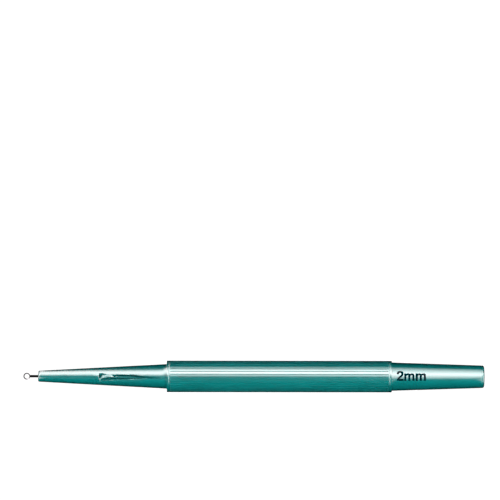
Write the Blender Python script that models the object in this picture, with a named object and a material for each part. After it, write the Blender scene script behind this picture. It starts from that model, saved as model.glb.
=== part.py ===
"""Disposable dermal curette: a ring blade folded from steel strip, set in a ribbed plastic handle.

The instrument lies along X with its blade towards -X. Both pieces are modelled about the
handle's axis, with x = 0 at the handle's front face. One empty sets them down with the grip's
ribs on the plane z = 0 and the whole length centred on the origin. All sizes are in metres.
"""

import math

import bmesh
import bpy
from mathutils import Vector

# Handle: the slim front cone
FRONT_LENGTH = 0.0393
FRONT_FACE_RADIUS = 0.00165
FRONT_BASE_RADIUS = 0.00375
FRONT_EDGE_RADIUS = 0.0004

# Handle: the fluted grip
GRIP_LENGTH = 0.0683
GRIP_RADIUS = 0.00482
GRIP_EDGE_RADIUS = 0.0001
COLLAR_WIDTH = 0.001
COLLAR_RELIEF = 0.00001
RIB_COUNT = 36
RIB_CREST_RADIUS = 0.0026
GROOVE_WIDTH = 0.0002
GROOVE_FLOOR_WIDTH = 0.00014
GROOVE_DEPTH = 0.00016
GROOVE_RUNOUT = 0.00025

# Handle: the rear cone
REAR_LENGTH = 0.0281
REAR_BASE_RADIUS = 0.004325
REAR_END_RADIUS = 0.0034
REAR_EDGE_RADIUS = 0.0006

# Pointer mark on top of the front cone: a triangular pocket inside two converging grooves
POCKET_START = 0.0185
POCKET_LENGTH = 0.0026
POCKET_HALF_WIDTH = 0.00092
POCKET_DEPTH = 0.0007
POINTER_LENGTH = 0.0192
POINTER_HEAD_LENGTH = 0.002
POINTER_FADE_LENGTH = 0.003
POINTER_HEAD_HALF_WIDTH = 0.00128
POINTER_NECK_HALF_WIDTH = 0.00072
POINTER_FADE_HALF_WIDTH = 0.00013
POINTER_TAIL_HALF_WIDTH = 0.00008
POINTER_GROOVE_HALF_WIDTH = 0.00017
POINTER_GROOVE_DEPTH = 0.00014
POINTER_TAIL_RISE = 0.00002

# Ring blade
RING_BORE_RADIUS = 0.00079
RING_STANDOFF = 0.00322
STRIP_THICKNESS = 0.00026
STRIP_WIDTH = 0.0006
CUTTING_EDGE_THICKNESS = 0.00004
CUTTING_BEVEL_HEIGHT = 0.00028
NECK_RADIUS = 0.00048
TAIL_GAP = 0.00006
TAIL_DEPTH = 0.014

# Fit of the blade's shank in the handle
SOCKET_CLEARANCE = 0.0003

# Facets
ROUND_SEGMENTS = 72
EDGE_STEPS = 4
GRIP_EDGE_STEPS = 2
RING_STEPS = 21
NECK_STEPS = 5

# How the grooves run out towards a collar: share of the run-out, share of the full section
RUNOUT_SHAPE = ((0.0, 0.0), (0.4, 0.7), (1.0, 1.0))

# Cutters stand this far out of what they cut
CUTTER_OVERRUN = 0.0005
WELD_DISTANCE = 1e-7
SMOOTH_ANGLE = math.radians(35)

# Values that follow from the sizes above
RIB_PITCH = 2 * math.pi / RIB_COUNT
REST_HEIGHT = (GRIP_RADIUS - RIB_CREST_RADIUS) * math.cos(RIB_PITCH / 2) + RIB_CREST_RADIUS
COLLAR_RADIUS = REST_HEIGHT - COLLAR_RELIEF
HANDLE_LENGTH = FRONT_LENGTH + GRIP_LENGTH + REAR_LENGTH
RING_RADIUS = RING_BORE_RADIUS + STRIP_THICKNESS / 2
TAIL_OFFSET = (TAIL_GAP + STRIP_THICKNESS) / 2
BLADE_REACH = RING_STANDOFF + RING_BORE_RADIUS + STRIP_THICKNESS
FRONT_TAPER = (FRONT_BASE_RADIUS - FRONT_FACE_RADIUS) / FRONT_LENGTH
REAR_TAPER = (REAR_BASE_RADIUS - REAR_END_RADIUS) / REAR_LENGTH


def clear_scene():
    for obj in list(bpy.data.objects):
        bpy.data.objects.remove(obj, do_unlink=True)


def principled(name, colour, roughness, metallic):
    material = bpy.data.materials.new(name)
    material.use_nodes = True
    shader = material.node_tree.nodes["Principled BSDF"]
    shader.inputs["Base Color"].default_value = (*colour, 1.0)
    shader.inputs["Roughness"].default_value = roughness
    shader.inputs["Metallic"].default_value = metallic
    return material


def new_object(name, bm, material=None):
    """Turn a bmesh into a linked object with its faces pointing out."""
    bmesh.ops.recalc_face_normals(bm, faces=bm.faces)
    mesh = bpy.data.meshes.new(name)
    bm.to_mesh(mesh)
    bm.free()
    if material:
        mesh.materials.append(material)
    obj = bpy.data.objects.new(name, mesh)
    bpy.context.scene.collection.objects.link(obj)
    return obj


def combine(target, tool, operation):
    """Join a form to the target or cut it away. The tool moves with the target, unrendered."""
    tool.hide_render = True
    tool.display_type = "WIRE"
    tool.parent = target
    modifier = target.modifiers.new(tool.name, "BOOLEAN")
    modifier.operation = operation
    modifier.solver = "EXACT"
    modifier.object = tool


def lathe(name, profile, material=None):
    """Revolve an open profile of (x, radius) points, with both ends on the axis, about X."""
    bm = bmesh.new()
    verts = [bm.verts.new((x, 0.0, radius)) for x, radius in profile]
    edges = [bm.edges.new(pair) for pair in zip(verts, verts[1:])]
    bmesh.ops.spin(
        bm,
        geom=verts + edges,
        cent=(0.0, 0.0, 0.0),
        axis=(1.0, 0.0, 0.0),
        angle=2 * math.pi,
        steps=ROUND_SEGMENTS,
    )
    bmesh.ops.remove_doubles(bm, verts=bm.verts, dist=WELD_DISTANCE)
    return new_object(name, bm, material)


def loft(name, sections, material=None):
    """Skin a list of closed sections, each with the same number of points, and cap both ends."""
    bm = bmesh.new()
    rings = [[bm.verts.new(point) for point in section] for section in sections]
    for ring, following in zip(rings, rings[1:]):
        for i in range(len(ring)):
            bm.faces.new((ring[i - 1], ring[i], following[i], following[i - 1]))
    bm.faces.new(rings[0])
    bm.faces.new(rings[-1])
    return new_object(name, bm, material)


def arc(centre, radius, start, end, steps):
    """Points of a circular arc in a plane, both ends included. Angles are in radians."""
    angles = [start + (end - start) * i / steps for i in range(steps + 1)]
    return [
        (centre[0] + radius * math.cos(angle), centre[1] + radius * math.sin(angle))
        for angle in angles
    ]


def rounded_end(face_radius, taper, edge_radius):
    """Profile from the axis out over the rounded edge of a cone that widens away from its end.

    The end face is at x = 0 and the cone runs towards +X, widening by taper for each metre.
    """
    lean = math.atan(taper)
    centre_radius = face_radius + edge_radius * (taper - 1 / math.cos(lean))
    edge = arc(
        (edge_radius, centre_radius), edge_radius, math.pi, math.pi / 2 + lean, EDGE_STEPS
    )
    return [(0.0, 0.0)] + edge


def handle_core(material):
    """Both cones and the bar between them, which the grip covers."""
    front = rounded_end(FRONT_FACE_RADIUS, FRONT_TAPER, FRONT_EDGE_RADIUS)
    front.append((FRONT_LENGTH, FRONT_BASE_RADIUS))
    rear = rounded_end(REAR_END_RADIUS, REAR_TAPER, REAR_EDGE_RADIUS)
    rear.append((REAR_LENGTH, REAR_BASE_RADIUS))
    turned_round = [(HANDLE_LENGTH - x, radius) for x, radius in reversed(rear)]
    return lathe("handle", front + turned_round, material)


def grip_section(x, circle_radius, fullness):
    """Section of the grip: a circle at fullness 0, and the full ribs and grooves at 1."""
    crest_centre = GRIP_RADIUS - RIB_CREST_RADIUS
    rib_half_width = RIB_PITCH * GRIP_RADIUS / 2 - GROOVE_WIDTH / 2
    floor_radius = REST_HEIGHT - GROOVE_DEPTH
    points = []
    for rib in range(RIB_COUNT):
        rib_angle = (rib + 0.5) * RIB_PITCH
        outline = []
        for share in (-1.0, -0.5, 0.0, 0.5, 1.0):
            across = share * rib_half_width
            height = crest_centre + math.sqrt(RIB_CREST_RADIUS**2 - across**2)
            outline.append((rib_angle, across, height))
        groove_angle = rib_angle + RIB_PITCH / 2
        for side in (-0.5, 0.5):
            outline.append((groove_angle, side * GROOVE_FLOOR_WIDTH, floor_radius))
        for angle, across, height in outline:
            up = Vector((0.0, math.sin(angle), math.cos(angle)))
            along = Vector((0.0, math.cos(angle), -math.sin(angle)))
            full = up * height + along * across
            plain = full.normalized() * circle_radius
            point = plain.lerp(full, fullness)
            points.append((x, point.y, point.z))
    return points


def grip_sleeve():
    """The fluted grip, with a plain collar and a rounded edge at each end."""
    edge_centre = (GRIP_EDGE_RADIUS, COLLAR_RADIUS - GRIP_EDGE_RADIUS)
    edge = arc(edge_centre, GRIP_EDGE_RADIUS, math.pi, math.pi / 2, GRIP_EDGE_STEPS)
    half = [(x, radius, 0.0) for x, radius in edge]
    for share, fullness in RUNOUT_SHAPE:
        half.append((COLLAR_WIDTH + share * GROOVE_RUNOUT, COLLAR_RADIUS, fullness))
    stations = half + [
        (GRIP_LENGTH - x, radius, fullness) for x, radius, fullness in reversed(half)
    ]
    sections = [
        grip_section(FRONT_LENGTH + x, radius, fullness) for x, radius, fullness in stations
    ]
    return loft("grip_sleeve", sections)


def socket_cutter():
    """Blind slot in the front face that takes the folded shank of the blade."""
    half_thickness = TAIL_GAP / 2 + STRIP_THICKNESS + SOCKET_CLEARANCE
    half_width = STRIP_WIDTH / 2 + SOCKET_CLEARANCE
    corners = [
        (-half_thickness, -half_width),
        (half_thickness, -half_width),
        (half_thickness, half_width),
        (-half_thickness, half_width),
    ]
    ends = (-CUTTER_OVERRUN, TAIL_DEPTH + SOCKET_CLEARANCE)
    return loft("socket_cutter", [[(x, y, z) for y, z in corners] for x in ends])


def front_radius(x):
    return FRONT_FACE_RADIUS + FRONT_TAPER * x


def v_section(x, offset, half_width, depth, lift=0.0):
    """V that stands in the front cone's top at a sideways offset and opens outwards.

    At lift 0 it is half_width wide each side where it meets the round surface, and depth below
    that surface at its point. The lift raises the same V out of the surface.
    """
    surface = front_radius(x)
    sagitta = surface - math.sqrt(surface**2 - half_width**2)
    slope = half_width / (depth - sagitta)
    angle = math.asin(offset / surface)
    up = Vector((0.0, math.sin(angle), math.cos(angle)))
    along = Vector((0.0, math.cos(angle), -math.sin(angle)))
    top = up * (surface + CUTTER_OVERRUN)
    top_half_width = along * slope * (depth + CUTTER_OVERRUN - lift)
    points = [up * (surface - depth + lift), top + top_half_width, top - top_half_width]
    return [(x, point.y, point.z) for point in points]


def pocket_cutter():
    """V-shaped wedge with a square front wall, whose floor climbs out to a point behind it."""
    front_wall = 0.0
    past_the_point = 1.25
    sections = []
    for share in (front_wall, past_the_point):
        x = POCKET_START + share * POCKET_LENGTH
        climb = share * POCKET_DEPTH
        sections.append(v_section(x, 0.0, POCKET_HALF_WIDTH, POCKET_DEPTH, climb))
    return loft("pocket_cutter", sections)


def pointer_groove_cutter(side):
    """One of the two grooves that start beside the pocket and close up towards the grip."""
    clear_of_surface = POINTER_GROOVE_DEPTH + POINTER_TAIL_RISE
    stations = [
        (0.0, POINTER_HEAD_HALF_WIDTH, 0.0),
        (POINTER_HEAD_LENGTH, POINTER_NECK_HALF_WIDTH, 0.0),
        (POINTER_LENGTH - POINTER_FADE_LENGTH, POINTER_FADE_HALF_WIDTH, 0.0),
        (POINTER_LENGTH, POINTER_TAIL_HALF_WIDTH, clear_of_surface),
    ]
    sections = []
    for distance, offset, lift in stations:
        x = POCKET_START + distance
        half_width = POINTER_GROOVE_HALF_WIDTH
        sections.append(v_section(x, side * offset, half_width, POINTER_GROOVE_DEPTH, lift))
    return loft("pointer_groove_left" if side > 0 else "pointer_groove_right", sections)


def build_handle():
    material = principled("green_plastic", (0.003, 0.17, 0.17), 0.28, 0.0)
    handle = handle_core(material)
    combine(handle, grip_sleeve(), "UNION")
    combine(handle, socket_cutter(), "DIFFERENCE")
    combine(handle, pocket_cutter(), "DIFFERENCE")
    combine(handle, pointer_groove_cutter(1), "DIFFERENCE")
    combine(handle, pointer_groove_cutter(-1), "DIFFERENCE")
    handle.data.shade_smooth()
    handle.data.set_sharp_from_angle(angle=SMOOTH_ANGLE)
    return handle


def half_blade_path():
    """Centre line of half the strip, from the ring's far side to the end of one tail.

    Each entry is the point, the direction that faces away from the fold, and the share of the
    cutting bevel that the strip has there.
    """
    reach = RING_RADIUS + NECK_RADIUS
    rise = TAIL_OFFSET + NECK_RADIUS
    neck_centre = (-RING_STANDOFF + math.sqrt(reach**2 - rise**2), rise)
    neck_angle = math.asin(rise / reach)
    path = []
    for step in range(RING_STEPS + 1):
        angle = math.pi + (neck_angle - math.pi) * step / RING_STEPS
        outward = (math.cos(angle), math.sin(angle))
        point = (-RING_STANDOFF + RING_RADIUS * outward[0], RING_RADIUS * outward[1])
        path.append((point, outward, 1.0))
    for step in range(1, NECK_STEPS + 1):
        share = step / NECK_STEPS
        angle = math.pi + neck_angle + (math.pi / 2 - neck_angle) * share
        inward = (math.cos(angle), math.sin(angle))
        point = (neck_centre[0] + NECK_RADIUS * inward[0], rise + NECK_RADIUS * inward[1])
        path.append((point, (-inward[0], -inward[1]), 1.0 - share))
    path.append(((TAIL_DEPTH, TAIL_OFFSET), (0.0, 1.0), 0.0))
    return path


def strip_section(point, outward, bevel):
    """Section across the strip. The bevel thins its upper edge from the outer side."""
    half_thickness = STRIP_THICKNESS / 2
    half_width = STRIP_WIDTH / 2
    edge = half_thickness + bevel * (CUTTING_EDGE_THICKNESS - STRIP_THICKNESS)
    corners = [
        (-half_thickness, -half_width),
        (half_thickness, -half_width),
        (half_thickness, half_width - CUTTING_BEVEL_HEIGHT),
        (edge, half_width),
        (-half_thickness, half_width),
    ]
    return [
        (point[0] + outward[0] * out, point[1] + outward[1] * out, z) for out, z in corners
    ]


def build_ring_blade():
    """One strip, bent round a ring and folded back on itself as a shank of two tails."""
    material = principled("ground_steel", (0.62, 0.63, 0.65), 0.3, 1.0)
    upper = half_blade_path()
    lower = [
        ((x, -y), (out_x, -out_y), bevel) for (x, y), (out_x, out_y), bevel in reversed(upper)
    ]
    path = lower[:-1] + upper
    blade = loft("ring_blade", [strip_section(*entry) for entry in path], material)
    blade.data.shade_smooth()
    blade.data.set_sharp_from_angle(angle=SMOOTH_ANGLE)
    return blade


def place(pieces):
    """Set the pieces down with the grip's ribs on z = 0 and the length centred on the origin."""
    curette = bpy.data.objects.new("curette", None)
    bpy.context.scene.collection.objects.link(curette)
    curette.location = ((BLADE_REACH - HANDLE_LENGTH) / 2, 0.0, REST_HEIGHT)
    for piece in pieces:
        piece.parent = curette


def main():
    clear_scene()
    place([build_handle(), build_ring_blade()])


main()
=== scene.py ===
"""Looks of a disposable dermal curette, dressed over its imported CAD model.

The curette lies along X with its ring blade towards -X, and the camera looks straight down on
it. Lengths are in metres, and angles round the handle start at its top and grow towards +Y.
"""

import math

import bmesh
import bpy
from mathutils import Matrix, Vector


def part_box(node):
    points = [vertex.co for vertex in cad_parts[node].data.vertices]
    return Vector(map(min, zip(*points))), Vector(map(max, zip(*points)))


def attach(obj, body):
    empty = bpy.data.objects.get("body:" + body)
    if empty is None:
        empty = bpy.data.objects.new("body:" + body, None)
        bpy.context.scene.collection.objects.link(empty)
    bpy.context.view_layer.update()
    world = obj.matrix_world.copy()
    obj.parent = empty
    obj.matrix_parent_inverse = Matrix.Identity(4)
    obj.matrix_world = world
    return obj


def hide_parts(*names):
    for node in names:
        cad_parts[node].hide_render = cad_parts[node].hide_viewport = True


MM = 0.001

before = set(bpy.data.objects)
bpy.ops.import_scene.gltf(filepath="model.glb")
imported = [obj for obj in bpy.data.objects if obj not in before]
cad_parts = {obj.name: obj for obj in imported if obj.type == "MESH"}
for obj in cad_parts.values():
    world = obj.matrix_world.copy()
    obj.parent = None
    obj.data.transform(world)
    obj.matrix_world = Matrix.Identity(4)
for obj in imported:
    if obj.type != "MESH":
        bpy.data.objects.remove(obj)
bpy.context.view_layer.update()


# Handle
# One injection moulding of glossy blue-green plastic: a slim front cone, a grip with fine ribs
# between two plain collars, and a short rear cone. Its corners are slightly round, its grooves run
# out softly before the collars, and a fine line runs round each collar and behind each end's edge.
handle_low, handle_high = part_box("handle")
blade_low, blade_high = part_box("ring_blade")

front_x = handle_low.x
rear_x = handle_high.x
axis_z = (handle_low.z + handle_high.z) / 2
rest_radius = axis_z - handle_low.z

front_length = 39.3 * MM
rear_length = 28.1 * MM
grip_front_x = front_x + front_length
grip_rear_x = rear_x - rear_length
face_x = front_x + 0.2 * MM

front_face_radius = 1.65 * MM
front_base_radius = 3.75 * MM
front_edge_radius = 0.35 * MM
front_line_place = 0.5 * MM
rear_end_radius = 3.4 * MM
rear_base_radius = 4.325 * MM
rear_edge_radius = 0.6 * MM
rear_line_place = 0.78 * MM
end_line_width = 0.28 * MM
end_line_depth = 0.035 * MM
root_fillet_radius = 0.04 * MM
front_taper = (front_base_radius - front_face_radius) / front_length
rear_taper = (rear_base_radius - rear_end_radius) / rear_length

rib_count = 36
rib_pitch = 2 * math.pi / rib_count
crest_curve_radius = 8.0 * MM
crest_centre = (rest_radius - crest_curve_radius) / math.cos(rib_pitch / 2)
groove_width = 0.18 * MM
groove_floor_width = 0.1 * MM
groove_depth = 0.16 * MM
groove_floor_radius = rest_radius - groove_depth
rib_edge_rounding = 0.015 * MM
collar_relief = 0.01 * MM
collar_radius = rest_radius - collar_relief
collar_width = 1.0 * MM
collar_edge_radius = 0.04 * MM
collar_line_place = 0.64 * MM
collar_line_width = 0.2 * MM
collar_line_depth = 0.045 * MM
groove_runout = 0.25 * MM

shank_fit = 0.01 * MM
shank_half_thickness = 0.37 * MM
slot_half_thickness = shank_half_thickness + shank_fit
slot_half_width = (blade_high.z - blade_low.z) / 2 + shank_fit
slot_end_x = blade_high.x + shank_fit
slot_corner_radius = 0.08 * MM

# A ring this far from each rounded corner keeps the flat faces flat in the shading.
end_margin = 0.03 * MM
root_margin = 0.02 * MM
collar_margin = 0.01 * MM


def smooth_step(share):
    share = min(max(share, 0.0), 1.0)
    return share * share * (3 - 2 * share)


def mix(start, end, share):
    return start + (end - start) * share


def read_stations(stations, distance):
    """Value or values at a distance along a list of (distance, value, ...) stations."""
    if distance <= stations[0][0]:
        return stations[0][1:]
    for before, after in zip(stations, stations[1:]):
        if distance <= after[0]:
            share = (distance - before[0]) / (after[0] - before[0])
            return tuple(mix(a, b, share) for a, b in zip(before[1:], after[1:]))
    return stations[-1][1:]


def ring_at(x, polar):
    """Points of one section of the handle, from (angle, radius) pairs or (..., dull) triples."""
    ring = []
    for angle, r, *dull in polar:
        ring.append((x, r * math.sin(angle), axis_z + r * math.cos(angle), *dull))
    return ring


def round_ring(x, radius, count):
    step = 2 * math.pi / count
    return ring_at(x, [(i * step - math.pi, radius) for i in range(count)])


def angle_of(point):
    return math.atan2(point[1], point[2] - axis_z)


def bridge(bm, ring, following):
    """Skin two neighbouring rings, which both start at the handle's underside."""
    if len(ring) == len(following):
        for i in range(len(ring)):
            bm.faces.new((ring[i - 1], ring[i], following[i], following[i - 1]))
        return
    angles = [[angle_of(v.co) for v in side] for side in (ring, following)]
    for side in angles:
        side[0] = -math.pi
        side.append(math.pi)
    i = j = 0
    while i < len(ring) or j < len(following):
        here, there = ring[i % len(ring)], following[j % len(following)]
        next_here = angles[0][i + 1] if i < len(ring) else math.inf
        next_there = angles[1][j + 1] if j < len(following) else math.inf
        if next_here <= next_there:
            i += 1
            bm.faces.new((here, ring[i % len(ring)], there))
        else:
            j += 1
            bm.faces.new((here, following[j % len(following)], there))


def skin(name, rings, material):
    """Closed body through a list of rings, capped at both ends.

    A point's fourth value is kept as dull: 0 on polished surfaces, and 1 in the mould's grooves and
    on the blade's shank, where it picks the steel's near-black colour, a painted shade.
    """
    bm = bmesh.new()
    dull = bm.verts.layers.float.new("dull")
    loops = [[bm.verts.new(point[:3]) for point in ring] for ring in rings]
    for ring, loop in zip(rings, loops):
        for point, vert in zip(ring, loop):
            vert[dull] = point[3] if len(point) > 3 else 0.0
    for ring, following in zip(loops, loops[1:]):
        bridge(bm, ring, following)
    bm.faces.new(loops[0])
    bm.faces.new(loops[-1])
    bmesh.ops.recalc_face_normals(bm, faces=bm.faces)
    mesh = bpy.data.meshes.new(name)
    bm.to_mesh(mesh)
    bm.free()
    mesh.materials.append(material)
    mesh.shade_smooth()
    sharp_angle = math.radians(35)
    mesh.set_sharp_from_angle(angle=sharp_angle)
    piece = bpy.data.objects.new(name, mesh)
    bpy.context.scene.collection.objects.link(piece)
    return piece


def slot_outline(x):
    """Closed outline of the slot round the shank, from its underside."""
    corner = slot_corner_radius
    corner_steps = 4
    points = []
    for side_z, side_y, start in ((-1, 1, 180), (1, 1, 90), (1, -1, 0), (-1, -1, 270)):
        for step in range(corner_steps + 1):
            angle = math.radians(start - 90 / corner_steps * step)
            y = side_y * (slot_half_thickness - corner) + corner * math.sin(angle)
            z = side_z * (slot_half_width - corner) + corner * math.cos(angle)
            points.append((x, y, axis_z + z))
    points.sort(key=angle_of)
    return [(x, 0.0, axis_z - slot_half_width)] + points


def edge_profile(face_radius, taper, edge_radius, steps):
    """(distance from the end face, radius) pairs over the rounded edge of a cone's small end."""
    lean = math.atan(taper)
    centre_radius = face_radius + edge_radius * (taper - 1 / math.cos(lean))
    pairs = []
    for step in range(steps + 1):
        angle = math.pi + (lean - math.pi / 2) * step / steps
        distance = edge_radius + edge_radius * math.cos(angle)
        pairs.append((distance, centre_radius + edge_radius * math.sin(angle)))
    return pairs


def root_profile(base_radius):
    """(distance from the grip's end face, radius) pairs over the fillet at a cone's root."""
    root_steps = 4
    pairs = []
    for step in range(root_steps + 1):
        angle = math.pi / 2 * step / root_steps
        distance = root_fillet_radius * (1 - math.sin(angle))
        pairs.append((distance, base_radius + root_fillet_radius * (1 - math.cos(angle))))
    return pairs


# The pointer mark is moulded into the top of the front cone. A deep wedge-shaped pocket has a
# square front wall and a flared, slightly raised lower lip. It narrows and leads to the upper of
# two fine grooves, which close up towards the grip. The rows are in millimetres, and their
# sideways places go round the cone. Each row of the upper groove has the distance behind the
# pocket's wall, the sideways places of its upper edge, its bottom, the foot of its flare and its
# lower edge, the depths of its bottom and of the flare's foot, and the height of the lip. A row
# of the lower groove has the distance, its inner edge, its bottom, its outer edge and its depth.
mark_x = front_x + 18.75 * MM
mark_wall_rounding = 0.3 * MM
upper_groove = (
    (0.0, 1.00, 0.20, -0.56, -1.00, 1.30, 0.40, 0.0),
    (0.35, 1.02, 0.25, -0.40, -0.86, 1.20, 0.38, 0.02),
    (0.7, 1.04, 0.44, 0.02, -0.65, 1.00, 0.34, 0.04),
    (1.0, 1.04, 0.56, 0.38, -0.52, 0.80, 0.30, 0.06),
    (1.4, 0.95, 0.58, 0.42, -0.42, 0.60, 0.24, 0.08),
    (1.8, 0.82, 0.58, 0.46, -0.33, 0.40, 0.18, 0.08),
    (2.3, 0.62, 0.52, 0.44, -0.26, 0.10, 0.05, 0.07),
    (2.8, 0.52, 0.48, 0.42, -0.18, 0.0, 0.0, 0.10),
    (3.6, 0.52, 0.48, 0.42, -0.16, 0.0, 0.0, 0.09),
    (4.1, 0.56, 0.40, 0.28, -0.08, 0.16, 0.08, 0.06),
    (4.7, 0.60, 0.34, 0.20, 0.08, 0.50, 0.25, 0.02),
    (5.6, 0.63, 0.32, 0.17, 0.09, 0.86, 0.50, 0.0),
    (6.4, 0.70, 0.34, 0.16, 0.08, 0.92, 0.55, 0.0),
    (7.2, 0.70, 0.34, 0.16, 0.08, 0.92, 0.55, 0.0),
    (8.0, 0.62, 0.34, 0.15, 0.07, 0.92, 0.55, 0.0),
    (8.8, 0.55, 0.32, 0.15, 0.07, 0.92, 0.55, 0.0),
    (10.3, 0.49, 0.26, 0.12, 0.04, 0.86, 0.50, 0.0),
    (11.5, 0.42, 0.16, 0.00, -0.10, 0.80, 0.45, 0.0),
    (12.4, 0.34, 0.00, -0.16, -0.28, 0.74, 0.42, 0.0),
    (13.7, 0.20, -0.16, -0.30, -0.42, 0.70, 0.40, 0.0),
    (15.2, 0.06, -0.28, -0.42, -0.52, 0.62, 0.33, 0.0),
    (16.3, -0.06, -0.34, -0.44, -0.54, 0.46, 0.23, 0.0),
    (17.9, -0.22, -0.38, -0.44, -0.50, 0.24, 0.12, 0.0),
    (19.2, -0.42, -0.46, -0.48, -0.50, 0.0, 0.0, 0.0),
)
lower_groove = (
    (0.0, -1.04, -1.28, -1.44, 0.24),
    (0.5, -0.84, -1.24, -1.42, 0.46),
    (0.9, -0.62, -1.16, -1.38, 0.66),
    (1.3, -0.48, -1.08, -1.32, 0.82),
    (1.95, -0.34, -1.00, -1.26, 0.95),
    (2.8, -0.21, -0.96, -1.24, 0.98),
    (4.0, -0.20, -0.92, -1.18, 0.95),
    (4.9, -0.34, -0.84, -1.04, 0.80),
    (6.0, -0.38, -0.78, -0.98, 0.70),
    (7.2, -0.34, -0.66, -0.88, 0.60),
    (8.4, -0.31, -0.60, -0.82, 0.60),
    (10.0, -0.28, -0.54, -0.78, 0.58),
    (11.5, -0.28, -0.50, -0.70, 0.50),
    (12.4, -0.42, -0.54, -0.66, 0.36),
    (13.7, -0.50, -0.56, -0.64, 0.10),
    (14.5, -0.55, -0.60, -0.66, 0.0),
    (15.6, -0.58, -0.62, -0.66, 0.0),
    (19.2, -0.60, -0.65, -0.70, 0.0),
)

# Also in millimetres: the mark's length, the distance over which the pocket's wall falls, the
# reach of the mark's columns to each side, and the depth from which a groove is fully dull.
mark_length = 19.2
wall_distance = 0.02
mark_reach = 2.3
full_dull_depth = 0.3

# Columns of faces between the corners of the mark's section, and round the rest of the cone.
mark_columns = (8, 3, 3, 4, 5, 2, 8, 9)
back_columns = 34

# The rings over the rounding of the pocket's wall are at these angles. Those behind it are closest
# at the pocket: each pair has a distance and the spacing up to it, in millimetres.
wall_angles = (0, 20, 35, 50, 65, 78)
mark_spacings = ((2.4, 0.05), (5.6, 0.1), (mark_length, 0.25))


def line_profile(place, width, depth):
    """(distance, depth) pairs over a fine line round the handle."""
    line_steps = 8
    pairs = []
    for step in range(line_steps + 1):
        share = step / line_steps
        pairs.append((place + (share - 0.5) * width, depth * math.sin(math.pi * share) ** 2))
    return pairs


def front_radius(x):
    return front_face_radius + front_taper * (x - front_x)


def rear_radius(x):
    return rear_end_radius + rear_taper * (rear_x - x)


def mark_profile(distance, cut_share):
    """(sideways place, depth, dull) across the mark, from its lower to its upper side, in mm."""
    upper_row = read_stations(upper_groove, distance)
    upper_edge, upper_bottom, flare_foot, flare_edge = upper_row[:4]
    upper_depth, flare_depth, lip_height = [value * cut_share for value in upper_row[4:]]
    lower_inner, lower_bottom, lower_edge, lower_depth = read_stations(lower_groove, distance)
    lower_dull = min(1.0, lower_depth * cut_share / full_dull_depth)
    upper_dull = min(1.0, upper_depth / full_dull_depth)
    part_dull = 0.3
    knots = (
        (-mark_reach, 0.0, 0.0),
        (lower_edge, 0.0, part_dull * lower_dull),
        (lower_bottom, lower_depth * cut_share, lower_dull),
        (lower_inner, -lip_height, 0.0),
        (flare_edge, -lip_height, 0.0),
        (flare_foot, flare_depth, part_dull * upper_dull),
        (upper_bottom, upper_depth, upper_dull),
        (upper_edge, 0.0, 0.0),
        (mark_reach, 0.0, 0.0),
    )
    points = []
    for start, end, count in zip(knots, knots[1:], mark_columns):
        for step in range(count):
            points.append(tuple(mix(a, b, step / count) for a, b in zip(start, end)))
    points.append(knots[-1])
    return points


def front_ring(x, radius=None, cut_share=None):
    """Section of the front cone, with the pointer mark where the cone has it.

    The mark's depths are cut down to a share of themselves over the rounding of its front wall.
    """
    plain_radius = front_radius(x) if radius is None else radius
    distance = (x - mark_x) / MM
    if cut_share is None:
        cut_share = 1.0 if 0 < distance < mark_length else 0.0
    top = []
    for place, depth, dull in mark_profile(distance, cut_share):
        top.append((place * MM / plain_radius, plain_radius - depth * MM, dull))
    first, last = top[0][0], top[-1][0]
    step = (2 * math.pi + first - last) / back_columns
    back = [(last + step * i, plain_radius, 0.0) for i in range(1, back_columns)]
    split = [angle for angle, _, _ in back if angle < math.pi]
    upper_back = back[: len(split)]
    lower_back = [(angle - 2 * math.pi, r, 0.0) for angle, r, _ in back[len(split) :]]
    return ring_at(x, lower_back + top + upper_back)


def half_rib_outline():
    """(across, height) pairs from the middle of a rib's crest to the foot of its wall."""
    groove_middle = rib_pitch / 2 * (crest_centre + crest_curve_radius)

    def on_crest(across):
        return (across, crest_centre + math.sqrt(crest_curve_radius**2 - across**2))

    corner = on_crest(groove_middle - groove_width / 2)
    foot = (groove_middle - groove_floor_width / 2, groove_floor_radius)
    round_start = on_crest(corner[0] - rib_edge_rounding)
    wall = math.dist(corner, foot)
    round_end = [mix(a, b, rib_edge_rounding / wall) for a, b in zip(corner, foot)]
    outline = [on_crest(share * round_start[0]) for share in (0.0, 0.3, 0.55, 0.8, 0.96)]
    for t in (0.0, 0.35, 0.65, 1.0):
        first = [mix(a, b, t) for a, b in zip(round_start, corner)]
        second = [mix(a, b, t) for a, b in zip(corner, round_end)]
        outline.append(tuple(mix(a, b, t) for a, b in zip(first, second)))
    outline.append(tuple(mix(a, b, 0.15) for a, b in zip(round_end, foot)))
    return outline + [foot]


def grip_ring(x, circle_radius, fullness):
    """Section of the grip: a circle at fullness 0, and the whole ribs and grooves at 1."""
    half_pitch = rib_pitch / 2
    half_rib = [
        (math.atan2(across, height), math.hypot(across, height), 0.0)
        for across, height in half_rib_outline()
    ]
    # The groove's wall is dull, and the rib's corner less and less so towards the crest.
    for back, dull in ((-1, 1.0), (-2, 1.0), (-3, 0.9), (-4, 0.6), (-5, 0.3)):
        half_rib[back] = (*half_rib[back][:2], dull)
    polar = []
    for rib in range(rib_count):
        centre = (rib + 0.5) * rib_pitch - math.pi
        polar.append((centre - half_pitch, groove_floor_radius, 1.0))
        polar += [(centre - angle, r, dull) for angle, r, dull in reversed(half_rib[1:])]
        polar += [(centre + angle, r, dull) for angle, r, dull in half_rib]
    return ring_at(
        x, [(angle, mix(circle_radius, r, fullness), dull * fullness) for angle, r, dull in polar]
    )


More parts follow.
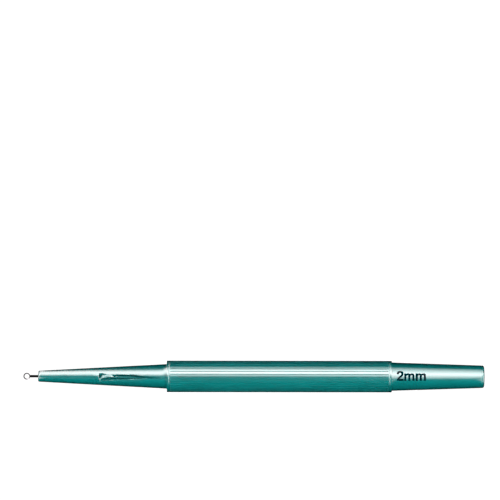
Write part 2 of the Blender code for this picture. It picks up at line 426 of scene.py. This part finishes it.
def front_rings():
    """Rings from the bottom of the slot out to the front end, and back over the cone."""
    rings = [slot_outline(slot_end_x), slot_outline(face_x)]
    edge = edge_profile(front_radius(face_x), front_taper, front_edge_radius, steps=8)
    rings.append(front_ring(face_x, edge[0][1] - end_margin))
    rings += [front_ring(face_x + distance, radius) for distance, radius in edge]
    for distance, depth in line_profile(front_line_place, end_line_width, end_line_depth):
        x = face_x + distance
        rings.append(front_ring(x, front_radius(x) - depth))
    plain_steps = 10
    edge_end = face_x + front_line_place + end_line_width / 2
    for step in range(1, plain_steps):
        rings.append(front_ring(mix(edge_end, mark_x - mark_wall_rounding, step / plain_steps)))
    for angle in wall_angles:
        lean = math.radians(angle)
        x = mark_x - mark_wall_rounding * (1 - math.sin(lean))
        drop = mark_wall_rounding * (1 - math.cos(lean)) / (upper_groove[0][5] * MM)
        rings.append(front_ring(x, cut_share=drop))
    distance = wall_distance
    for reach, spacing in mark_spacings:
        while distance < reach:
            rings.append(front_ring(mark_x + distance * MM))
            distance += spacing
    rings.append(front_ring(mark_x + mark_length * MM))
    root = root_profile(front_base_radius)
    rings += [front_ring(grip_front_x - distance, radius) for distance, radius in root]
    rings.append(front_ring(grip_front_x, root[-1][1] + root_margin))
    return rings


def grip_rings():
    half = [(0.0, collar_radius - collar_edge_radius - collar_margin, 0.0)]
    edge_steps = 6
    for step in range(edge_steps + 1):
        angle = math.pi / 2 * step / edge_steps
        distance = collar_edge_radius * (1 - math.cos(angle))
        radius = collar_radius - collar_edge_radius * (1 - math.sin(angle))
        half.append((distance, radius, 0.0))
    line = line_profile(collar_line_place, collar_line_width, collar_line_depth)
    half += [(distance, collar_radius - depth, 0.0) for distance, depth in line]
    for share in (0.0, 0.2, 0.4, 0.6, 0.8, 1.0):
        half.append((collar_width + share * groove_runout, collar_radius, smooth_step(share)))
    front_half = [grip_ring(grip_front_x + x, radius, share) for x, radius, share in half]
    rear_half = [grip_ring(grip_rear_x - x, radius, share) for x, radius, share in reversed(half)]
    return front_half + rear_half


def rear_rings():
    """Rings from the grip's end face over the rear cone and its rounded end."""
    rear_columns = 180
    root = root_profile(rear_base_radius)
    profile = [(grip_rear_x, root[-1][1] + root_margin)]
    profile += [(grip_rear_x + distance, radius) for distance, radius in reversed(root)]
    cone_steps = 12
    cone_start = grip_rear_x + root[0][0]
    cone_end = rear_x - rear_line_place - end_line_width / 2
    for step in range(1, cone_steps):
        x = mix(cone_start, cone_end, step / cone_steps)
        profile.append((x, rear_radius(x)))
    line = line_profile(rear_line_place, end_line_width, end_line_depth)
    for distance, depth in reversed(line):
        x = rear_x - distance
        profile.append((x, rear_radius(x) - depth))
    edge = edge_profile(rear_end_radius, rear_taper, rear_edge_radius, steps=10)
    profile += [(rear_x - distance, radius) for distance, radius in reversed(edge)]
    profile.append((rear_x, edge[0][1] - end_margin))
    return [round_ring(x, radius, rear_columns) for x, radius in profile]


def new_material(name, metallic):
    material = bpy.data.materials.new(name)
    material.use_nodes = True
    nodes = material.node_tree.nodes
    links = material.node_tree.links
    shader = nodes["Principled BSDF"]
    shader.inputs["Metallic"].default_value = metallic
    return material, nodes, links, shader


def noise(nodes, links, scale, detail=2.0, stretch=(1.0, 1.0, 1.0)):
    """Noise in the object's own coordinates. Scale is in cells for each metre."""
    place = nodes.new("ShaderNodeTexCoord")
    mapping = nodes.new("ShaderNodeMapping")
    mapping.inputs["Scale"].default_value = stretch
    texture = nodes.new("ShaderNodeTexNoise")
    texture.inputs["Scale"].default_value = scale
    texture.inputs["Detail"].default_value = detail
    links.new(place.outputs["Object"], mapping.inputs["Vector"])
    links.new(mapping.outputs["Vector"], texture.inputs["Vector"])
    return texture.outputs["Fac"]


def spread(nodes, links, source, low, high, target, start=0.3, end=0.7):
    """Carry a texture's value to a socket, spread over a range."""
    node = nodes.new("ShaderNodeMapRange")
    node.inputs["From Min"].default_value = start
    node.inputs["From Max"].default_value = end
    node.inputs["To Min"].default_value = low
    node.inputs["To Max"].default_value = high
    links.new(source, node.inputs["Value"])
    links.new(node.outputs["Result"], target)


def two_tones(nodes, links, source, dark, light, target):
    """Carry a texture to a colour socket as two near shades."""
    ramp = nodes.new("ShaderNodeValToRGB")
    low, high = ramp.color_ramp.elements
    low.position = 0.3
    low.color = (*dark, 1.0)
    high.position = 0.7
    high.color = (*light, 1.0)
    links.new(source, ramp.inputs["Fac"])
    links.new(ramp.outputs["Color"], target)


def bump(nodes, links, source, height, strength, shader):
    node = nodes.new("ShaderNodeBump")
    node.inputs["Distance"].default_value = height
    node.inputs["Strength"].default_value = strength
    links.new(source, node.inputs["Height"])
    links.new(node.outputs["Normal"], shader.inputs["Normal"])


def green_plastic():
    """Glossy moulded plastic: faint flow streaks in the colour and a slightly uneven gloss.

    The tinted skin deepens the colour towards the edges, as tinted plastic does. The gloss goes
    where the surface is dull.
    """
    material, nodes, links, shader = new_material("glossy_green_plastic", 0.0)
    shader.inputs["Coat Weight"].default_value = 1.0
    shader.inputs["Coat IOR"].default_value = 1.05
    shader.inputs["Coat Roughness"].default_value = 0.2
    shader.inputs["Coat Tint"].default_value = (0.67, 0.67, 0.67, 1.0)
    dull = nodes.new("ShaderNodeAttribute")
    dull.attribute_name = "dull"
    streaks = noise(nodes, links, 260, 3.0, (0.25, 1.0, 1.0))
    two_tones(
        nodes, links, streaks, (0.001, 0.155, 0.15), (0.0015, 0.195, 0.19),
        shader.inputs["Base Color"],
    )
    grain = noise(nodes, links, 2600)
    polish = nodes.new("ShaderNodeMath")
    spread(nodes, links, grain, 0.1, 0.15, polish.inputs[0])
    spread(nodes, links, dull.outputs["Fac"], 0.0, 0.5, polish.inputs[1], 0.0, 1.0)
    links.new(polish.outputs["Value"], shader.inputs["Roughness"])
    spread(
        nodes, links, dull.outputs["Fac"], 1.0, 0.0, shader.inputs["Specular IOR Level"], 0.0, 1.0
    )
    bump(nodes, links, grain, 0.002 * MM, 0.35, shader)
    return material


handle = skin("moulded_handle", front_rings() + grip_rings() + rear_rings(), green_plastic())
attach(handle, "root")
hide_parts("handle")


# Ring blade
# One narrow strip of stainless steel, bent round a pin into a ring. Its two ends lie together as
# the shank, which is moulded into the handle. The ring's steel colour is painted darker than steel
# as painted shade, and the shank's is painted near black as painted shade. The ring has a satin
# polish, and its upper edge is ground from the inside to the cutting edge.
strip_thickness = 0.34 * MM
strip_half_width = (blade_high.z - blade_low.z) / 2
ring_outer_radius = (blade_high.y - blade_low.y) / 2
ring_radius = ring_outer_radius - strip_thickness / 2
ring_x = blade_low.x + ring_outer_radius - 0.06 * MM
shank_end_x = blade_high.x
tail_thickness = 0.36 * MM
tail_offset = 0.182 * MM
neck_radius = 0.16 * MM
bevel_height = 0.42 * MM
edge_thickness = 0.04 * MM
strip_corner = 0.02 * MM
ring_steps = 60
neck_steps = 12


def blade_path():
    """(point, outward direction, share of the bevel) along half the strip."""
    reach = ring_radius + neck_radius
    rise = tail_offset + neck_radius
    neck_x = ring_x + math.sqrt(reach**2 - rise**2)
    neck_angle = math.asin(rise / reach)
    path = []
    for step in range(ring_steps + 1):
        angle = math.pi + (neck_angle - math.pi) * step / ring_steps
        outward = (math.cos(angle), math.sin(angle))
        point = (ring_x + ring_radius * outward[0], ring_radius * outward[1])
        path.append((point, outward, 1.0))
    for step in range(1, neck_steps + 1):
        share = step / neck_steps
        angle = math.pi + neck_angle + (math.pi / 2 - neck_angle) * share
        inward = (math.cos(angle), math.sin(angle))
        point = (neck_x + neck_radius * inward[0], rise + neck_radius * inward[1])
        path.append((point, (-inward[0], -inward[1]), 1.0 - smooth_step(share)))
    path.append(((shank_end_x, tail_offset), (0.0, 1.0), 0.0))
    return path


def strip_ring(point, outward, bevel):
    """Section across the strip, with softened corners below and the ground edge above."""
    half = mix(tail_thickness, strip_thickness, bevel) / 2
    soft = strip_corner
    bevel_start = strip_half_width - mix(soft, bevel_height, bevel)
    corners = (
        (-half + soft, -strip_half_width),
        (half - soft, -strip_half_width),
        (half, -strip_half_width + soft),
        (half, strip_half_width - mix(soft, 0.5 * soft, bevel)),
        (mix(half - soft, half, bevel), strip_half_width),
        (mix(-half + soft, half - edge_thickness, bevel), strip_half_width),
        (-half, bevel_start),
        (-half, -strip_half_width + soft),
    )
    return [
        (point[0] + outward[0] * out, point[1] + outward[1] * out, axis_z + z, 1.0 - bevel)
        for out, z in corners
    ]


def steel_with_painted_shade():
    """Stainless strip: a ground ring painted darker than steel, and a shank painted near black,
    both as painted shade.
    """
    material, nodes, links, shader = new_material("strip_steel_painted_shade", 1.0)
    shader.inputs["Anisotropic"].default_value = 0.4
    lines = noise(nodes, links, 2500, 2.0, (1.0, 1.0, 16.0))
    dull = nodes.new("ShaderNodeAttribute")
    dull.attribute_name = "dull"
    tone = nodes.new("ShaderNodeMix")
    tone.data_type = "RGBA"
    links.new(dull.outputs["Fac"], tone.inputs["Factor"])
    # Ring tones first, then the shank's near-black tones: both are painted shade, darker than
    # steel.
    two_tones(nodes, links, lines, (0.1, 0.102, 0.107), (0.15, 0.153, 0.16), tone.inputs["A"])
    two_tones(nodes, links, lines, (0.006, 0.006, 0.007), (0.015, 0.015, 0.016), tone.inputs["B"])
    links.new(tone.outputs["Result"], shader.inputs["Base Color"])
    polish = nodes.new("ShaderNodeMath")
    spread(nodes, links, lines, 0.0, 0.04, polish.inputs[0])
    spread(nodes, links, dull.outputs["Fac"], 0.42, 0.07, polish.inputs[1], 0.0, 1.0)
    links.new(polish.outputs["Value"], shader.inputs["Roughness"])
    bump(nodes, links, lines, 0.001 * MM, 0.2, shader)
    return material


upper_half = blade_path()
lower_half = [
    ((x, -y), (out_x, -out_y), bevel)
    for (x, y), (out_x, out_y), bevel in reversed(upper_half[1:])
]
strip_rings = [strip_ring(*entry) for entry in lower_half + upper_half]
blade = skin("folded_ring_blade", strip_rings, steel_with_painted_shade())
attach(blade, "root")
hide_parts("ring_blade")


# Size mark
# The ring's size, pad-printed in dark ink on the rear cone. The pad presses the ink round the
# cone's curve as a thin, slightly raised film.
print_x = front_x + 109.06 * MM
print_baseline = -1.07 * MM
ink_thickness = 0.012 * MM
ink_sink = 0.006 * MM
print_cell = 0.15 * MM

# Outlines of the two characters, in millimetres from the baseline's left end. They are printed
# bolder by the spread of the ink.
digit_outline = (
    (0.0, 0.0), (2.02, 0.0), (2.02, 0.5), (0.75, 0.5), (1.0, 0.78), (1.36, 1.1), (1.7, 1.43),
    (1.92, 1.76), (1.98, 2.08), (1.93, 2.42), (1.76, 2.69), (1.45, 2.87), (1.02, 2.93),
    (0.6, 2.87), (0.28, 2.69), (0.1, 2.4), (0.04, 2.02), (0.54, 1.97), (0.6, 2.24),
    (0.76, 2.42), (1.0, 2.48), (1.24, 2.43), (1.4, 2.29), (1.45, 2.07), (1.38, 1.85),
    (1.16, 1.58), (0.78, 1.24), (0.36, 0.83), (0.1, 0.45),
)
letter_outline = (
    (0.0, 0.0), (0.52, 0.0), (0.52, 1.3), (0.58, 1.53), (0.73, 1.67), (0.92, 1.72),
    (1.09, 1.69), (1.2, 1.58), (1.23, 1.38), (1.23, 0.0), (1.75, 0.0), (1.75, 1.3),
    (1.81, 1.53), (1.96, 1.67), (2.15, 1.72), (2.32, 1.69), (2.43, 1.58), (2.46, 1.38),
    (2.46, 0.0), (2.98, 0.0), (2.98, 1.5), (2.94, 1.78), (2.82, 1.99), (2.61, 2.13),
    (2.31, 2.18), (2.06, 2.14), (1.85, 2.04), (1.68, 1.87), (1.53, 2.04), (1.32, 2.14),
    (1.06, 2.18), (0.83, 2.14), (0.63, 2.03), (0.47, 1.86), (0.47, 2.14), (0.0, 2.14),
)
print_spread = 0.06
print_outlines = ((0.0, digit_outline), (2.3, letter_outline), (5.77, letter_outline))


def grown(outline, amount):
    """Outline with each corner moved outwards, to make its strokes bolder."""
    corners = []
    for i, (x, y) in enumerate(outline):
        before, after = outline[i - 1], outline[(i + 1) % len(outline)]
        normal_x = normal_y = 0.0
        for (ax, ay), (bx, by) in ((before, (x, y)), ((x, y), after)):
            length = math.hypot(bx - ax, by - ay)
            normal_x += (by - ay) / length
            normal_y -= (bx - ax) / length
        reach = amount / max(math.hypot(normal_x, normal_y) / 2, 0.5) ** 2 / 2
        corners.append((x + normal_x * reach, y + normal_y * reach))
    return corners


def cut_in_cells(bm, size):
    """Cut the faces along a square grid, so that they can bend round the cone."""
    for axis in (0, 1):
        low = min(v.co[axis] for v in bm.verts)
        high = max(v.co[axis] for v in bm.verts)
        count = int((high - low) / size)
        for i in range(1, count + 1):
            place = [0.0, 0.0, 0.0]
            place[axis] = low + size * i
            normal = [0.0, 0.0, 0.0]
            normal[axis] = 1.0
            geometry = bm.verts[:] + bm.edges[:] + bm.faces[:]
            bmesh.ops.bisect_plane(bm, geom=geometry, plane_co=place, plane_no=normal)


def wrapped_print(name, material):
    """Film of ink in the shape of the characters, bent round the rear cone."""
    bm = bmesh.new()
    for start, outline in print_outlines:
        corners = [bm.verts.new((start + x, y, 0.0)) for x, y in grown(outline, print_spread)]
        bm.faces.new(corners)
    bm.normal_update()
    bmesh.ops.triangulate(bm, faces=bm.faces[:])
    for vert in bm.verts:
        vert.co *= MM
    cut_in_cells(bm, print_cell)
    extruded = bmesh.ops.extrude_face_region(bm, geom=bm.faces[:])
    for item in extruded["geom"]:
        if isinstance(item, bmesh.types.BMVert):
            item.co.z = 1.0
    for vert in bm.verts:
        x = print_x + vert.co.x
        height = mix(-ink_sink, ink_thickness, vert.co.z)
        angle = (print_baseline + vert.co.y) / rear_radius(x)
        radius = rear_radius(x) + height
        vert.co = (x, radius * math.sin(angle), axis_z + radius * math.cos(angle))
    bmesh.ops.recalc_face_normals(bm, faces=bm.faces)
    mesh = bpy.data.meshes.new(name)
    bm.to_mesh(mesh)
    bm.free()
    mesh.materials.append(material)
    piece = bpy.data.objects.new(name, mesh)
    bpy.context.scene.collection.objects.link(piece)
    return piece


def printing_ink():
    """Dark pad-printing ink: without the plastic's gloss, and thinner in places."""
    material, nodes, links, shader = new_material("dark_print_ink", 0.0)
    cover = noise(nodes, links, 1800, 3.0)
    two_tones(
        nodes, links, cover, (0.0, 0.008, 0.01), (0.0, 0.014, 0.018),
        shader.inputs["Base Color"],
    )
    spread(nodes, links, cover, 0.45, 0.6, shader.inputs["Roughness"])
    shader.inputs["Specular IOR Level"].default_value = 0.0
    return material


size_mark = wrapped_print("size_mark", printing_ink())
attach(size_mark, "root")


# Studio
# A white floor and a white wall round it, an overhead lamp that lights the colour of the plastic,
# and glowing screens that only mirror in its gloss: one arched over the far side of the handle,
# and one beyond each end. The screens fade out softly and don't show to the camera.
floor_radius = 3.0
wall_height = 3.0
floor_grey = 0.16
background_glow = 1.0
bounce_glow = 0.35
bounce_half_width = 0.15


def studio_mesh(name, points, faces, material):
    mesh = bpy.data.meshes.new(name)
    mesh.from_pydata(points, [], faces)
    mesh.materials.append(material)
    obj = bpy.data.objects.new(name, mesh)
    bpy.context.scene.collection.objects.link(obj)
    return obj


def white_surface(name, glow, grey):
    material, _, _, shader = new_material(name, 0.0)
    shader.inputs["Base Color"].default_value = (grey, grey, grey, 1.0)
    shader.inputs["Roughness"].default_value = 1.0
    shader.inputs["Specular IOR Level"].default_value = 0.0
    shader.inputs["Emission Color"].default_value = (1.0, 1.0, 1.0, 1.0)
    shader.inputs["Emission Strength"].default_value = glow
    return material


def circle_points(radius, z, count):
    step = 2 * math.pi / count
    return [(radius * math.cos(i * step), radius * math.sin(i * step), z) for i in range(count)]


round_count = 64
floor = studio_mesh(
    "studio_floor",
    circle_points(floor_radius, 0.0, round_count),
    [tuple(range(round_count))],
    white_surface("white_floor", background_glow, floor_grey),
)
floor.visible_glossy = False
floor.visible_diffuse = False

# The floor's light on the two cones' sides and undersides comes from a patch under each, because
# the grip's sides stay darker.
for name, low_x, high_x in (("front_bounce", -0.3, -0.035), ("rear_bounce", 0.05, 0.3)):
    bounce = studio_mesh(
        name,
        [
            (low_x, -bounce_half_width, 0.0),
            (high_x, -bounce_half_width, 0.0),
            (high_x, bounce_half_width, 0.0),
            (low_x, bounce_half_width, 0.0),
        ],
        [(0, 1, 2, 3)],
        white_surface(f"{name}_light", bounce_glow, 0.0),
    )
    bounce.visible_camera = False
    bounce.visible_glossy = False
    bounce.visible_shadow = False

wall = studio_mesh(
    "studio_wall",
    circle_points(floor_radius, 0.0, round_count)
    + circle_points(floor_radius, wall_height, round_count),
    [
        (i, (i + 1) % round_count, round_count + (i + 1) % round_count, round_count + i)
        for i in range(round_count)
    ],
    white_surface("white_wall", background_glow, 0.0),
)
wall.visible_glossy = False
wall.visible_diffuse = False
wall.visible_shadow = False


def screen(name, rows, strength, tint, gloss_only):
    """Glowing screen through rows of (point, glow) pairs, all rows of one length.

    It lights either gloss alone or colour alone.
    """
    width = len(rows[0])
    points = [point for row in rows for point, _ in row]
    faces = []
    for level in range(len(rows) - 1):
        for i in range(width - 1):
            corner = level * width + i
            faces.append((corner, corner + 1, corner + width + 1, corner + width))
    material = bpy.data.materials.new(name)
    material.use_nodes = True
    nodes = material.node_tree.nodes
    links = material.node_tree.links
    nodes.clear()
    glow = nodes.new("ShaderNodeAttribute")
    glow.attribute_name = "glow"
    power = nodes.new("ShaderNodeMath")
    power.operation = "MULTIPLY"
    power.inputs[1].default_value = strength
    emission = nodes.new("ShaderNodeEmission")
    emission.inputs["Color"].default_value = (*tint, 1.0)
    output = nodes.new("ShaderNodeOutputMaterial")
    links.new(glow.outputs["Fac"], power.inputs[0])
    links.new(power.outputs["Value"], emission.inputs["Strength"])
    links.new(emission.outputs["Emission"], output.inputs["Surface"])
    obj = studio_mesh(name, points, faces, material)
    values = obj.data.attributes.new("glow", "FLOAT", "POINT")
    values.data.foreach_set("value", [value for row in rows for _, value in row])
    obj.visible_camera = False
    obj.visible_shadow = False
    obj.visible_diffuse = not gloss_only
    obj.visible_glossy = gloss_only
    return obj


def fade(share):
    """1 in the middle of a screen, half at half its reach, and 0 at its edge."""
    return math.cos(math.pi / 2 * min(abs(share), 1.0)) ** 2


# The arched screen stands on a cylinder about the handle. Each row has its place along X, the
# angle of its brightest line from straight up and its reach up and down from that line in degrees,
# its relative strength, and how far its soft fade turns into a straight one.
arch_radius = 0.35
arch_strength = 20.5
warm_white = (1.0, 0.92, 0.91)
arch_rows = (
    (-0.450, 62, 66, 118, 0.87, 0.0),
    (-0.110, 62, 66, 118, 0.87, 0.0),
    (-0.081, 39, 43, 66, 0.85, 0.0),
    (-0.070, 32, 31, 50, 0.83, 0.0),
    (-0.065, 31, 35, 52, 0.97, 0.3),
    (0.054, 31, 35, 52, 0.97, 0.3),
    (0.065, 26, 46, 64, 0.90, 1.0),
    (0.078, 23, 46, 64, 0.90, 1.0),
    (0.200, 23, 46, 64, 0.90, 1.0),
)
arch_steps = 24
screen_rows = []
for x, middle, reach_up, reach_down, power, straightness in arch_rows:
    row = []
    for step in range(-arch_steps, arch_steps + 1):
        reach = reach_up if step < 0 else reach_down
        share = step / arch_steps
        angle = math.radians(middle + share * reach)
        point = (x, arch_radius * math.sin(angle), axis_z + arch_radius * math.cos(angle))
        row.append((point, power * mix(fade(share), 1.0 - abs(share), straightness)))
    screen_rows.append(row)
screen("arched_screen", screen_rows, arch_strength, warm_white, gloss_only=True)

# The end screens are bands of a dome. They turn this far to each side and go from the low to the
# high angle above the horizon, in degrees. A small power keeps them bright almost to their edges.
dome_radius = 0.5
end_strength = 13.0
end_turn = 62
end_low = 8
end_high = 62
end_steps = 16
end_fade_power = 0.3
for side, name in ((-1, "front_end_screen"), (1, "rear_end_screen")):
    screen_rows = []
    for level in range(end_steps + 1):
        height = math.radians(mix(end_low, end_high, level / end_steps))
        row = []
        for step in range(-end_steps, end_steps + 1):
            turn = math.radians(end_turn) * step / end_steps
            point = (
                side * dome_radius * math.cos(height) * math.cos(turn),
                dome_radius * math.cos(height) * math.sin(turn),
                axis_z + dome_radius * math.sin(height),
            )
            glow = (fade(step / end_steps) * fade(2 * level / end_steps - 1)) ** end_fade_power
            row.append((point, glow))
        screen_rows.append(row)
    screen(name, screen_rows, end_strength, warm_white, gloss_only=True)

# The overhead lamp leans a little to the near side. It lights colour only, not gloss.
plain_white = (1.0, 1.0, 1.0)
lamp_x = 0.04
lamp_distance = 0.5
lamp_lean = math.radians(-2)
lamp_half_size = 0.25
lamp_strength = 8.7
lamp_y = lamp_distance * math.sin(lamp_lean)
lamp_z = lamp_distance * math.cos(lamp_lean)
lamp_rows = [
    [((lamp_x + x, lamp_y + y, lamp_z), 1.0) for x in (-lamp_half_size, lamp_half_size)]
    for y in (-lamp_half_size, lamp_half_size)
]
screen("overhead_lamp", lamp_rows, lamp_strength, plain_white, gloss_only=False)

world = bpy.data.worlds.new("dim_room")
world.use_nodes = True
world.node_tree.nodes["Background"].inputs["Color"].default_value = (0.01, 0.01, 0.01, 1.0)
bpy.context.scene.world = world


# Camera
# A long lens straight above the curette. The photograph's frame is wider than the curette and
# reaches further towards +Y, and the curette leans in it by less than a tenth of a degree.
frame_width = 152.0 * MM
lens = 300.0
sensor = 36.0
look_x = -1.2 * MM
look_y = 38.45 * MM
roll = math.radians(0.075)

camera_data = bpy.data.cameras.new("camera")
camera_data.lens = lens
camera_data.sensor_width = sensor
camera_data.clip_end = 20.0
camera = bpy.data.objects.new("camera", camera_data)
bpy.context.scene.collection.objects.link(camera)
camera.location = (look_x, look_y, axis_z + frame_width * lens / sensor)
camera.rotation_euler = (0.0, 0.0, roll)
bpy.context.scene.camera = camera
bpy.context.scene.view_settings.view_transform = "Standard"
